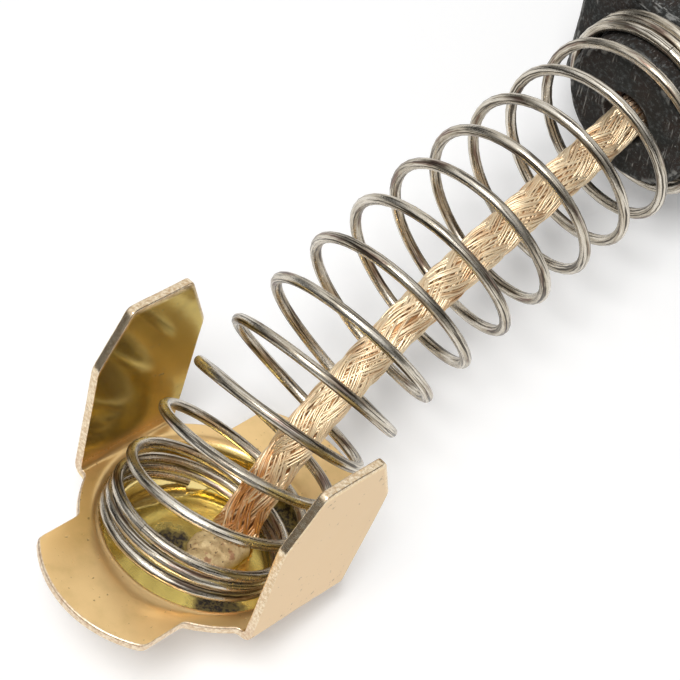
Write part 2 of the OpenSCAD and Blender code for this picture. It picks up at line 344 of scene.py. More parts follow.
def tubes(name, paths, normals, radius, sides):
    """Closed tubes along many paths of equal count: path + r (cos a N + sin a B), where N is
    the given normal made square to the path and B is square to both. Each end is closed on
    its centre. The points come path by path and ring by ring, and the end centres last."""
    count, rings = paths.shape[:2]
    along = unit(np.gradient(paths, axis=1))
    n = unit(normals - (normals * along).sum(-1, keepdims=True) * along)
    b = np.cross(along, n)
    a = np.arange(sides) * TAU / sides
    radius = np.broadcast_to(np.asarray(radius, float), (count, rings))[..., None, None]
    skin = paths[:, :, None] + radius * (
        np.cos(a)[:, None] * n[:, :, None] + np.sin(a)[:, None] * b[:, :, None]
    )
    points = np.concatenate([skin.reshape(-1, 3), paths[:, 0], paths[:, -1]])
    first = np.arange(count) * rings * sides
    quads = (first[:, None, None] + grid_faces(rings, sides)[None]).reshape(-1, 4)
    near = count * rings * sides + np.arange(count)
    j = np.arange(sides)
    k = (j + 1) % sides
    start = np.stack(np.broadcast_arrays(near[:, None], first[:, None] + k, first[:, None] + j), -1)
    tip = first[:, None] + (rings - 1) * sides
    end = np.stack(np.broadcast_arrays(near[:, None] + count, tip + j, tip + k), -1)
    return new_mesh(name, points, quads, [start.reshape(-1, 3), end.reshape(-1, 3)], False)


# ---------------------------------------------------------------- the spring

def spring_path(layout, sizes, steps_per_turn=40):
    """Wire of the spring: it turns evenly about the centre line, while its way along the line
    is the closed pitch times the turns, plus the open rise over a ramped count of turns."""
    turns = sizes.cap_turns + sizes.open_turns + sizes.boss_turns
    closed = sizes.wire_d + CLOSE_GAP
    rise = (layout.line_l - closed * turns) / (sizes.open_turns - sizes.ramp)
    u = np.linspace(0, turns, int(turns * steps_per_turn) + 1)

    def ramped(x):
        soft = np.where(x < sizes.ramp, x * x / (2 * sizes.ramp), x - sizes.ramp / 2)
        return np.where(x < 0, 0, soft)

    way = closed * u + rise * (
        ramped(u - sizes.cap_turns) - ramped(u - sizes.cap_turns - sizes.open_turns + sizes.ramp)
    )
    t = way / layout.line_l
    h = heading(layout.line, t)
    side = side_of(h)
    a = TAU * u + sizes.start
    out = np.cos(a)[:, None] * np.cross(side, h) + np.sin(a)[:, None] * side
    return curve(layout.line, t) + sizes.coil_d / 2 * out, out


def make_spring(scene):
    """Tubes of wire along the spring's path: the closed turns in the cap, the open turns, and
    the closed turns on the boss. The cuts are where a turn is farthest to each end, so the
    open turns can shorten while the closed ones keep their shape. A ring close to each end
    keeps the shading straight up to the cut."""
    layout, sizes, sides = Layout(scene), scene.brush_spring, 20
    path, out = spring_path(layout, sizes)
    turns = sizes.cap_turns + sizes.open_turns + sizes.boss_turns
    u = np.linspace(0, turns, len(path))
    low = np.flatnonzero((u > sizes.cap_turns - 0.4) & (u < sizes.cap_turns + 0.6))
    high = np.flatnonzero(np.abs(u - turns + sizes.boss_turns) < 0.5)
    cuts = [0, low[path[low, 0].argmin()], high[path[high, 0].argmax()], len(path) - 1]
    run = np.concatenate([[0], np.cumsum(np.linalg.norm(np.diff(path, axis=0), axis=1))]) / MM
    a, steps = np.arange(sides) * TAU / sides, np.arange(len(path))
    names = ("spring_cap_turns", "spring_open_turns", "spring_boss_turns")
    parts = []
    for name, i, j in zip(names, cuts, cuts[1:]):
        at = np.concatenate([[i, i + CUT_RING], np.arange(i + 1, j), [j - CUT_RING, j]])
        wire, normals = (np.stack([np.interp(at, steps, v) for v in w.T], -1) for w in (path, out))
        obj = tubes(name, wire[None], normals[None], sizes.wire_d / 2, sides)
        far = np.interp(at, steps, run)[:, None]
        lay = np.stack(np.broadcast_arrays(far, np.cos(a), np.sin(a)), -1).reshape(-1, 3)
        add_vectors(obj, "lay", np.concatenate([lay, [[run[i], 0, 0], [run[j], 0, 0]]]))
        parts.append(obj)
    return parts, path[cuts[1], 0], path[cuts[2], 0]


# ---------------------------------------------------------------- the braid and its foot

def braid_line(layout, scene):
    """Centre line of the braid: out of its foot, up through the coils and into the carbon."""
    braid, cap, carbon = scene.brush_braid, scene.brush_cap, scene.brush_carbon
    low_x = braid.foot_x + braid.foot_l - braid.foot_w + 0.1 * MM
    low = layout.on_cap(np.array([low_x, 0.1 * MM - braid.foot_y, braid.foot_t - cap.cup_depth]))
    mouth = layout.shoulder - (carbon.boss_l - carbon.recess - 0.4 * MM) * layout.axis
    return np.array([
        low, low + layout.handle * layout.first,
        mouth - layout.free_l / 4 * layout.axis - [0, 0, braid.sag], mouth,
    ])


def make_braid(scene):
    """Fine wires in bundles wound both ways about the braid's centre line. A wire stands at
    angle w s + its bundle's place, and at radius r0 + lift cos(n w s) for n bundles each way, with
    the opposite sign for the other hand, so each passes over and under those that cross it."""
    layout, sizes = Layout(scene), scene.brush_braid
    knots = braid_line(layout, scene)
    rings, sides = 160, 6
    t = np.linspace(0, 1, rings)
    centre, h = curve(knots, t), heading(knots, t)
    side = side_of(h)
    up = np.cross(side, h)
    run = np.concatenate([[0], np.cumsum(np.linalg.norm(np.diff(centre, axis=0), axis=1))])
    every = np.meshgrid([1, -1], np.arange(sizes.bundles), np.arange(sizes.wires), indexing="ij")
    hand, bundle, wire = (v.ravel()[:, None] for v in every)
    rng = np.random.default_rng(11)
    seat = (wire - (sizes.wires - 1) / 2) / (sizes.wires / 2)
    r0 = sizes.diameter / 2 - sizes.wire_d * 1.35
    turn = TAU * run[None] / sizes.lay
    ident = hand * 31.0 + bundle * 7.0 + wire * 1.7
    drift = np.stack(np.broadcast_arrays(run[None] / (1.6 * MM), ident, 0.0), -1)
    stray = noise(drift, 3) * 0.9 + noise(drift * 2.7, 5) * 0.35
    spread = sizes.wires * sizes.wire_d * 0.98 / 2
    a = (
        hand * turn + TAU * bundle / sizes.bundles + hand * 0.12 * np.sin(turn * 3.1)
        + (seat * spread + stray * 0.10 * MM) / r0
    )
    lift = sizes.wire_d * 0.5 * np.cos(sizes.bundles * turn) * hand
    crown = 0.06 * MM * (1 - seat**2) + noise(drift[..., [1, 0, 2]], 9) * 0.035 * MM
    r = r0 + lift + crown
    flare = np.clip(1 - run / (2.2 * MM), 0, 1) ** 2
    r = r * (1 + 0.22 * flare[None])
    out = np.cos(a)[..., None] * up[None] + np.sin(a)[..., None] * side[None]
    paths = centre[None] + r[..., None] * out
    gauge = sizes.wire_d / 2 * (1 + 0.08 * rng.standard_normal((len(paths), 1)))
    obj = tubes("copper_braid", paths, out, gauge, sides)
    shade = np.clip(0.5 + 0.22 * rng.standard_normal((len(paths), 1)) + 0.25 * stray, 0, 1)
    add_values(obj, "shade", np.concatenate([
        np.repeat(shade, sides, axis=1).ravel(), shade[:, 0], shade[:, -1]
    ]))
    return obj


def make_braid_core(scene):
    """Wires hidden inside the braid, as one plain tube."""
    layout, sizes = Layout(scene), scene.brush_braid
    knots, rings, sides = braid_line(layout, scene), 120, 36
    t = np.linspace(0, 1, rings)
    h = heading(knots, t)
    return tubes("braid_core", curve(knots, t)[None], np.cross(side_of(h), h)[None],
                 sizes.diameter / 2 - sizes.wire_d * 2.1, sides)


def make_foot(scene):
    """Foot of the braid, pressed flat at the cup's floor: the upper half of a rounded pad,
    x = l sin(s)^p cos(a)^q, y = w sin(s)^p sin(a)^q and z = h cos(s)^p, with low lumps, and
    thicker on the side where the braid leaves it."""
    layout, braid, cap = Layout(scene), scene.brush_braid, scene.brush_cap
    rows, cols = 48, 96
    s = np.linspace(0, np.pi / 2, rows)[1:, None]
    a = np.arange(cols)[None] * TAU / cols
    power, squareness = 0.55, 0.75
    ring = np.sin(s) ** power
    lump_at = np.stack([np.cos(a) * ring * 1.7, np.sin(a) * ring * 1.2, 0 * a * s], -1)
    lumps = layered(lump_at, 0.42, 3, 21)
    across = np.sign(np.cos(a)) * np.abs(np.cos(a)) ** squareness
    aside = np.sign(np.sin(a)) * np.abs(np.sin(a)) ** squareness
    x = ring * across * braid.foot_l / 2 * (1 + 0.05 * lumps)
    y = ring * aside * braid.foot_w / 2 * (1 + 0.06 * lumps)
    z = np.cos(s) ** power * braid.foot_t * (0.86 + 0.10 * lumps) + 0 * a
    z = z * (1 + 0.35 * x / braid.foot_l)
    top = np.stack([x + braid.foot_x, y - braid.foot_y, z + SEAT_GAP - cap.cup_depth], -1)
    points = np.concatenate([top.reshape(-1, 3), [top[0].mean(0), top[-1].mean(0)]])
    n = (rows - 1) * cols
    quads = grid_faces(rows - 1, cols)[:, ::-1]
    return new_mesh("welded_foot", layout.on_cap(points), quads,
                    [fan(n, 0, cols, True), fan(n + 1, n - cols, cols)])


# ---------------------------------------------------------------- the terminal cap

def blank_outline(cap, count=520):
    """Outline of the flat sheet before it is formed: at each angle the farthest of the flange's
    circle, the wings and the ears' strips laid flat, then evened out in steps and softened."""
    q = np.linspace(0, TAU, 16001)[:-1]
    c, s = np.cos(q), np.sin(q)
    far = np.full(q.shape, 1.0)

    def reach(nx, ny, d):
        """Way along each ray to the line n . p = d, or far where the ray never meets it."""
        dot = nx * np.abs(c) + ny * np.abs(s)
        return np.where(dot > 1e-6, d / np.maximum(dot, 1e-6), far)

    tip_x = cap.wing_span / 2 - cap.wing_tip_r
    arc = tip_x * np.abs(c) + np.sqrt(np.maximum(cap.wing_tip_r**2 - (tip_x * s) ** 2, 0))
    wing = np.minimum(reach(0, 1, cap.wing_w / 2), arc)
    fold, strip = bend_start(cap), bend_length(cap)
    top = fold + strip + cap.ear_h - cap.bend_r
    corners = [
        (cap.ear_root_w / 2, fold),
        (cap.ear_w / 2, top - cap.ear_corner_h),
        (cap.ear_tip_w / 2, top),
    ]
    ear = reach(0, 1, top)
    for (ax, ay), (bx, by) in zip(corners, corners[1:]):
        nx, ny = by - ay, ax - bx
        ear = np.minimum(ear, reach(nx, ny, nx * ax + ny * ay))
    r = np.maximum(np.maximum(wing, ear), cap.flange_d / 2)
    x, y = r * c, r * s
    run = np.concatenate([[0], np.cumsum(np.hypot(np.diff(x), np.diff(y)))])
    fine = 8 * count
    even = np.linspace(0, run[-1], fine, endpoint=False)
    line = np.stack([np.interp(even, run, x), np.interp(even, run, y)], -1)
    width = int(0.42 * MM / (run[-1] / fine))
    kernel = np.hanning(2 * width + 1)
    kernel /= kernel.sum()
    padded = np.concatenate([line[-width:], line, line[:width]])
    soft = np.stack([np.convolve(padded[:, k], kernel, "valid") for k in (0, 1)], -1)
    return soft[::8]


def bend_start(cap):
    """Distance from the cap's middle to the fold of an ear."""
    return cap.flange_d / 2 - cap.bend_r - cap.sheet


def bend_length(cap):
    """Length of sheet that goes into an ear's bend."""
    return (cap.bend_r + cap.sheet / 2) * (np.pi / 2 - cap.ear_splay)


def cup_section(cap, q, w):
    """Radius and height of the drawn cup at q from 0 to 4, for a layer w below the sheet's
    upper face: the floor, a quarter turn up, the wall, and a quarter turn out to the flange."""
    cup_r, lip = cap.cup_d / 2, cap.lip_r + cap.sheet
    floor, wall = np.clip(q, 0, 1), np.clip(q - 2, 0, 1)
    low, high = np.clip(q - 1, 0, 1) * np.pi / 2, np.clip(q - 3, 0, 1) * np.pi / 2
    inner = cup_r - cap.floor_r
    r = inner * floor + (cap.floor_r - w) * np.sin(low) + (lip + w) * (1 - np.cos(high))
    z_low = cap.floor_r - cap.cup_depth - (cap.floor_r - w) * np.cos(low)
    z = z_low + wall * (cap.cup_depth - lip - cap.floor_r) + (lip + w) * np.sin(high)
    return r, z


def form_ear(cap, x, y, w):
    """Place of a blank point once the ears are bent up: past the fold the sheet turns about
    the bend's centre, almost a quarter circle, and then goes straight on."""
    over = np.abs(y) - bend_start(cap)
    full = np.pi / 2 - cap.ear_splay
    turn = np.clip(over / bend_length(cap), 0, 1) * full
    up = np.maximum(over - bend_length(cap), 0)
    level = np.minimum(over, 0)
    yy = bend_start(cap) + level + (cap.bend_r - w) * np.sin(turn) + up * np.cos(full)
    zz = cap.bend_r - (cap.bend_r - w) * np.cos(turn) + up * np.sin(full)
    return np.stack([x, np.sign(y) * yy, zz], -1)


def make_cap(scene):
    """One sheet, as a closed surface over the angle and the way out and back: the drawn cup,
    the flat sheet out to the outline, round the sheared edge, and back underneath."""
    layout, cap = Layout(scene), scene.brush_cap
    line = blank_outline(cap)
    cols = len(line)
    reach = np.hypot(line[:, 0], line[:, 1])
    ray = line / reach[:, None]
    flat_r = cap.cup_d / 2 + cap.lip_r + cap.sheet
    q = np.concatenate([
        k + np.linspace(0, 1, count)[1:] for k, count in enumerate((14, 7, 4, 7))
    ])[:, None]
    sine = np.maximum(np.abs(ray[:, 1]), 1e-3)
    first = np.clip((bend_start(cap) / sine - flat_r) / (reach - flat_r), 0.08, 0.5)
    last = (bend_start(cap) + bend_length(cap)) / sine
    last = np.clip((last - flat_r) / (reach - flat_r), first + 0.12, 0.75)
    out = np.concatenate([
        np.linspace(0, 1, 4)[1:, None] * first,
        first + np.linspace(0, 1, 8)[1:, None] * (last - first),
        last + np.linspace(0, 1, 26)[1:, None] * (1 - last),
    ])
    round_r = 0.09 * MM
    edge = np.linspace(0, np.pi / 2, 5)[:, None]

    def cup_at(w):
        r, z = cup_section(cap, q, w)
        return np.stack([ray[:, 0] * r, ray[:, 1] * r, z + 0 * reach], -1)

    def sheet_at(share, inset, w):
        r = flat_r + (reach - inset - flat_r) * share
        return form_ear(cap, ray[:, 0] * r, ray[:, 1] * r, w + 0 * r)

    upper, lower = sheet_at(out[:-1], round_r, 0.0), sheet_at(out[:-1], round_r, -cap.sheet)
    brim = [
        sheet_at(1.0, round_r * (1 - np.sin(edge)), -round_r * (1 - np.cos(edge))),
        sheet_at(1.0, round_r * (1 - np.cos(edge)), -cap.sheet + round_r * (1 - np.sin(edge))),
    ]
    under_cup = cup_at(-cap.sheet)[::-1]
    rows = np.concatenate([cup_at(0.0), upper, *brim, lower[::-1], under_cup])
    wave = 0.022 * MM * noise(rows / (3.1 * MM), 41) + 0.012 * MM * noise(rows / (1.1 * MM), 42)
    bent = rows.copy()
    tall = np.clip((rows[..., 2] - 1 * MM) / (4 * MM), 0, 1)
    past_cup = np.clip(np.hypot(rows[..., 0], rows[..., 1]) / flat_r - 0.9, 0, 1)
    bent[..., 2] += wave * (1 - tall) * past_cup
    bent[..., 1] += wave * tall
    count = len(rows)
    centre = np.array([[0, 0, -cap.cup_depth], [0, 0, -cap.cup_depth - cap.sheet]])
    points = np.concatenate([bent.reshape(-1, 3), centre])
    obj = new_mesh("brass_terminal_cap", layout.on_cap(points), grid_faces(count, cols)[:, ::-1],
                   [fan(count * cols, 0, cols, True), fan(count * cols + 1, (count - 1) * cols, cols)])
    brim_start = len(q) + len(upper)
    brim_end = brim_start + sum(len(part) for part in brim)
    side = np.zeros(count)
    side[brim_start:brim_end] = 1
    under = np.zeros(count)
    under[brim_end:] = 1
    add_values(obj, "sheared", np.concatenate([np.repeat(side, cols), [0, 0]]))
    add_values(obj, "under", np.concatenate([np.repeat(under, cols), [0, 1]]))
    add_vectors(obj, "own", np.concatenate([rows.reshape(-1, 3), centre]) / MM)
    return obj


# ---------------------------------------------------------------- the carbon

def block_reach(carbon, a):
    """Way from the middle of the block's section to its outline with cut corners: the nearest
    of the side, the top and the corner's slope along each ray."""
    w, t, e = carbon.block_w / 2, carbon.block_t / 2, carbon.edge
    c, s = np.maximum(np.abs(np.cos(a)), 1e-9), np.maximum(np.abs(np.sin(a)), 1e-9)
    return np.minimum(np.minimum(w / c, t / s), (w + t - e) / (c + s))


def make_carbon(scene):
    """Block and boss as one closed surface over the angle and a way from the hole's end, out
    over the boss's face and side, the shoulder, the block's sides, and in over its far face.
    Each ring blends a circle and the block's section, and a noise pits and chips it."""
    layout, carbon = Layout(scene), scene.brush_carbon
    cols = 264
    fine = np.linspace(0, TAU, 8001)
    reach = block_reach(carbon, fine)
    step = np.hypot(np.diff(reach * np.cos(fine)), np.diff(reach * np.sin(fine)))
    run = np.concatenate([[0], np.cumsum(step)])
    a = np.interp(np.linspace(0, run[-1], cols, endpoint=False), run, fine)
    square = block_reach(carbon, a)
    boss_r, hole_r = carbon.boss_d / 2, carbon.hole_d / 2
    rim, fillet = carbon.boss_rim, carbon.boss_fillet
    start, edge = -carbon.boss_l, carbon.edge
    quarter, rise = np.linspace(0, np.pi / 2, 8)[1:], np.linspace(0, 1, 4)[1:]

    def stations(*parts):
        """Rows of (x along, round radius, share of the square, inset) joined in order."""
        return np.concatenate([np.stack(np.broadcast_arrays(*p), -1).reshape(-1, 4) for p in parts])

    hole_end = start + carbon.hole_depth
    hole = stations(
        (hole_end, np.array([0.4, 0.9, 1.0]) * hole_r, 0, 0),
        (np.linspace(hole_end, start + 0.1 * MM, 24)[1:], hole_r, 0, 0),
        (start + 0.03 * MM, hole_r + 0.03 * MM, 0, 0),
    )
    outside = stations(
        (start, np.linspace(hole_r + 0.1 * MM, boss_r - rim, 18), 0, 0),
        (start + rim * (1 - np.cos(quarter)), boss_r - rim * (1 - np.sin(quarter)), 0, 0),
        (np.linspace(start + rim, -fillet, 16)[1:], boss_r, 0, 0),
        (-fillet * (1 - np.sin(quarter)), boss_r + fillet * (1 - np.cos(quarter)), 0, 0),
        (0, boss_r + fillet, np.linspace(0, 1, 18)[1:], edge),
        (edge * rise, 0, 1, edge * (1 - rise)),
        (np.linspace(edge, carbon.block_l - edge, 118)[1:], 0, 1, 0),
        (carbon.block_l - edge * (1 - rise), 0, 1, edge * rise),
        (carbon.block_l, 0, np.linspace(1, 0.03, 24)[1:], edge),
    )
    rows = np.concatenate([hole, outside])
    x, round_r, share, inset = (rows[:, k, None] for k in range(4))
    shrink = inset / np.maximum(np.abs(np.cos(a)) * 0.9, np.abs(np.sin(a)) * 0.9)
    ray = round_r * (1 - share) + (square - np.minimum(shrink, 0.4 * MM)) * share
    own = np.stack([x + 0 * ray, ray * np.cos(a), ray * np.sin(a)], -1)
    grain = layered(own, 0.55 * MM, 3, 61)
    broad = layered(own, 2.6 * MM, 2, 65)
    d_row = np.gradient(own, axis=0)
    d_col = (np.roll(own, -1, 1) - np.roll(own, 1, 1)) / 2
    out = np.cross(d_col, d_row)
    out = out / np.maximum(np.linalg.norm(out, axis=-1, keepdims=True), 1e-15)
    turned = np.linalg.norm(np.roll(out, -1, 0) - np.roll(out, 1, 0), axis=-1)
    turned[[0, -1]] = 0
    corner = np.clip(turned + np.linalg.norm(np.roll(out, -1, 1) - np.roll(out, 1, 1), axis=-1), 0, 1)
    inside = (np.arange(len(rows)) < len(hole))[:, None]
    chips = np.clip(noise(own / (0.8 * MM), 71) - 0.25, 0, 1) * 0.16 * MM * corner
    depth = 0.012 * MM * grain + 0.016 * MM * np.minimum(broad, 0.4) - chips - 0.01 * MM
    own = own + out * np.where(inside, 0, depth)[..., None]
    world = layout.on_carbon(own[..., 0], own[..., 1], own[..., 2])
    ends = layout.on_carbon(
        np.array([hole_end, carbon.block_l - 0.01 * MM]), np.zeros(2), np.zeros(2)
    )
    count = len(rows)
    obj = new_mesh("carbon_body", np.concatenate([world.reshape(-1, 3), ends]), grid_faces(count, cols),
                   [fan(count * cols, 0, cols), fan(count * cols + 1, (count - 1) * cols, cols, True)])
    add_vectors(obj, "own", np.concatenate([own.reshape(-1, 3), np.zeros((2, 3))]) / MM)
    add_values(obj, "edge", np.concatenate([(corner * ~inside).ravel(), [0, 0]]))
    return obj


# ---------------------------------------------------------------- finishes

class Value:
    """A number socket in a node tree. Sums written with it add their Math nodes."""

    def __init__(self, shader, socket):
        self.shader, self.socket = shader, socket

    def math(self, operation, other):
        return self.shader.node("ShaderNodeMath", {"operation": operation}, {0: self, 1: other})

    def __add__(self, other):
        return self.math("ADD", other)

    def __sub__(self, other):
        return self.math("SUBTRACT", other)

    def __mul__(self, other):
        return self.math("MULTIPLY", other)

    def __rsub__(self, other):
        return self.math("MULTIPLY", -1) + other

    __radd__, __rmul__ = __add__, __mul__

    def smooth(self, low, high):
        """0 below low and 1 above high, with a soft step between."""
        return self.shader.node("ShaderNodeMapRange", {"interpolation_type": "SMOOTHSTEP"},
                                {"Value": self, "From Min": low, "From Max": high})


class Shader:
    """A material's node tree, with its Principled shader."""

    def __init__(self, name, tree=None):
        if tree is None:
            self.material = bpy.data.materials.new(name)
            self.material.use_nodes = True
            tree = self.material.node_tree
        self.tree = tree
        self.surface = next((n for n in tree.nodes if n.type == "BSDF_PRINCIPLED"), None)

    def node(self, kind, settings=None, values=None, output=0):
        """Any node: its settings are set first, then its sockets get numbers or links."""
        node = self.tree.nodes.new(kind)
        for name, value in (settings or {}).items():
            setattr(node, name, value)
        for key, value in (values or {}).items():
            self.put(node.inputs[key], value)
        return Value(self, node.outputs[output])

    def put(self, socket, value):
        if isinstance(value, Value):
            self.tree.links.new(value.socket, socket)
        elif socket.type == "RGBA":
            socket.default_value = (*value, 1)
        else:
            socket.default_value = value

    def set(self, **values):
        for name, value in values.items():
            self.put(self.surface.inputs[name.replace("_", " ")], value)

    def attribute(self, name, vector=False):
        return self.node("ShaderNodeAttribute", {"attribute_name": name}, output=1 if vector else 2)

    def place(self):
        """Place on the object, in millimetres."""
        spot = self.node("ShaderNodeTexCoord", output=3)
        return self.node("ShaderNodeVectorMath", {"operation": "SCALE"}, {0: spot, "Scale": 1000})

    def stretched(self, vector, scale):
        return self.node("ShaderNodeVectorMath", {"operation": "MULTIPLY"}, {0: vector, 1: scale})

    def measure(self, operation, vector, other=(0, 0, 0)):
        """Vector Math that gives a number: a dot product, a distance or a length."""
        values = {0: vector, 1: other}
        return self.node("ShaderNodeVectorMath", {"operation": operation}, values, output=1)

    def noise(self, vector, scale, detail=3, roughness=0.55):
        return self.node("ShaderNodeTexNoise", None, {
            "Vector": vector, "Scale": scale, "Detail": detail, "Roughness": roughness})

    def part(self, vector, axis):
        return self.node("ShaderNodeSeparateXYZ", None, {0: vector}, output="XYZ".index(axis))

    def mix(self, factor, a, b):
        """Colour mix: a where factor is 0, b where it is 1."""
        return self.node("ShaderNodeMix", {"data_type": "RGBA"}, {0: factor, 6: a, 7: b}, output=2)

    def bump(self, height, distance):
        return self.node("ShaderNodeBump", None, {
            "Height": height, "Distance": distance * MM, "Strength": 1.0})


def brass_finish(f):
    """Pressed brass: shinier inside the cup and the ears, and painted more golden there as reflection, duller
    underneath, with draw marks, pale sheared edges, a fold across the cup's floor whose far side has a painted
    highlight, scorching by the weld, grit, and painted shade on the cup's wall under the coils."""
    s = Shader("pressed brass")
    own = s.attribute("own", vector=True)
    mottle, wobble = s.noise(own, 0.55, 4), s.noise(own, 1.9, 4)
    grain = s.noise(own, 6.0, 3)
    specks = s.noise(own, 3.1, 2).smooth(0.68, 0.74)
    height = s.part(own, "Z")
    sheared, under = s.attribute("sheared"), s.attribute("under")
    inside = (1 - height.smooth(-0.5, -0.1)) * (1 - under)
    # golden marks the cup's inside and the ears' inner faces: shinier, and tinted more golden as painted
    # reflection.
    golden = inside * 0.9 + height.smooth(0.3, 1.5) * (1 - under) * 0.85
    tone = s.mix(golden, tuple(f.brass), tuple(f.brass_inside))
    tone = s.mix(mottle.smooth(0.45, 0.75) * 0.3 * (1 - under), tone, (0.52, 0.36, 0.12))
    tone = s.mix(under * 0.9, tone, (0.75, 0.56, 0.34))
    tone = s.mix(specks * 0.5, tone, (0.16, 0.08, 0.03))
    edge_tone = s.mix(grain.smooth(0.3, 0.7), (0.92, 0.80, 0.64), (0.62, 0.44, 0.30))
    tone = s.mix(sheared * 0.85, tone, edge_tone)
    # Past the fold the floor is painted brighter: a painted highlight where the tilted sheet catches the light.
    # The bump there is the fold itself.
    beside = s.measure("DOT_PRODUCT", own, (0.25, 0.97, 0))
    past = (beside + wobble * 0.5).smooth(3.05, 3.25) * inside
    tone = s.mix(past * 0.8, tone, (0.98, 0.78, 0.34))
    # Dark spots: scorching by the weld near the foot, painted shade on the cup's wall where the coils' shadow
    # falls, and grit at the bottom.
    spots = (((-1.3, 0.8, -1.6), 1.2), ((4.0, -1.3, -1.3), 1.5), ((-2.2, -3.6, -1.3), 1.6))
    stains_and_shade = 0
    for spot, reach in spots:
        away = s.measure("DISTANCE", own, spot)
        stains_and_shade = stains_and_shade + (1 - (away + wobble * 1.4 - 0.7).smooth(reach * 0.6, reach * 1.1))
    scorch_grit_and_shade = stains_and_shade.math("MINIMUM", 1) * inside * (0.80 + 0.20 * grain.smooth(0.4, 0.6))
    tone = s.mix(scorch_grit_and_shade, tone, (0.014, 0.008, 0.008))
    lines = s.noise(s.stretched(own, (0.6, 9.0, 0.6)), 1.6, 3)
    rough = 0.26 - golden * 0.15 + grain * 0.05 + (sheared + under) * 0.10 + scorch_grit_and_shade * 0.35
    metal = (0.86 + golden * 0.08) * (1 - scorch_grit_and_shade)
    relief = grain * 0.22 + lines * 0.22 + specks * -0.6 + scorch_grit_and_shade * 0.8 + past * 2.5 + mottle * 0.2
    s.set(Base_Color=tone, Metallic=metal, Roughness=rough, Normal=s.bump(relief, 0.010))
    return s.material


def steel_finish(f):
    """Drawn spring wire: warm steel with black and pale lines along it, partly draw marks and partly painted
    reflection, and brown stains here and there."""
    s = Shader("drawn spring steel")
    lay = s.attribute("lay", vector=True)
    lines = s.noise(s.stretched(lay, (0.20, 2.2, 2.2)), 1.5, 3)
    fine = s.noise(s.stretched(lay, (0.7, 6.0, 6.0)), 2.0, 2)
    blot = s.noise(s.stretched(lay, (0.40, 0.8, 0.8)), 1.0, 4)
    grain = s.noise(s.place(), 9.0, 3)
    tone = s.mix(blot.smooth(0.35, 0.65), tuple(f.steel), (0.46, 0.40, 0.30))
    tone = s.mix(blot.smooth(0.56, 0.66) * 0.75, tone, tuple(f.steel_stain))
    # Dark and pale lines at set angles round the wire: partly draw marks, partly painted reflection, the dark band
    # and bright rim of a shiny wire.
    tone = s.mix(lines.smooth(0.51, 0.60) * 0.92, tone, (0.045, 0.036, 0.026))
    tone = s.mix((1 - lines.smooth(0.36, 0.44)) * 0.6, tone, (0.88, 0.84, 0.76))
    tone = s.mix(fine.smooth(0.56, 0.68) * 0.6, tone, (0.09, 0.07, 0.05))
    rough = 0.16 + blot * 0.14 + grain * 0.10
    relief = s.bump(lines * 0.9 + grain * 0.5, 0.012)
    s.set(Base_Color=tone, Metallic=0.93, Roughness=rough, Normal=relief)
    return s.material


def copper_finish(f):
    """Fine copper wires, pale where bright, redder by the foot and dark at the carbon."""
    s = Shader("bright copper wire")
    shade, place = s.attribute("shade"), s.place()
    blot = s.noise(place, 1.6, 3)
    near = 1 - s.part(place, "X").smooth(-21.5, -15.5)
    tone = s.mix((shade * 0.8 + blot * 0.5).smooth(0.50, 1.15), tuple(f.copper), tuple(f.copper_dark))
    tone = s.mix((near * (blot + shade)).smooth(0.55, 1.1) * 0.85, tone, (0.68, 0.30, 0.08))
    deep = s.part(place, "X").smooth(5.0, 6.4)
    tone = s.mix(deep * 0.85, tone, (0.16, 0.08, 0.05))
    s.set(Base_Color=tone, Metallic=0.70, Roughness=0.30 + blot * 0.16)
    return s.material


def core_finish(f):
    """Shaded wires deep in the braid."""
    s = Shader("tarnished copper core")
    # Darker copper: painted shade of the wires deep in the braid.
    tone = s.mix(s.noise(s.place(), 5.0, 3), (0.34, 0.17, 0.07), (0.60, 0.34, 0.16))
    s.set(Base_Color=tone, Metallic=0.9, Roughness=0.5)
    return s.material


def weld_finish(f):
    """Copper pressed into the brass at the weld: pale beige, with pits and red-brown flecks."""
    s = Shader("welded copper")
    place = s.place()
    blot, pits = s.noise(place, 1.3, 4), s.noise(place, 5.0, 3)
    tone = s.mix(blot.smooth(0.35, 0.65), (0.86, 0.68, 0.38), (0.64, 0.46, 0.23))
    tone = s.mix(pits.smooth(0.62, 0.70) * 0.9, tone, (0.09, 0.035, 0.025))
    tone = s.mix(s.noise(place, 1.7, 3).smooth(0.58, 0.66) * 0.7, tone, (0.40, 0.15, 0.08))
    relief = s.bump(blot + pits * 0.8, 0.05)
    s.set(Base_Color=tone, Metallic=0.35, Roughness=0.42 + pits * 0.3, Normal=relief)
    return s.material


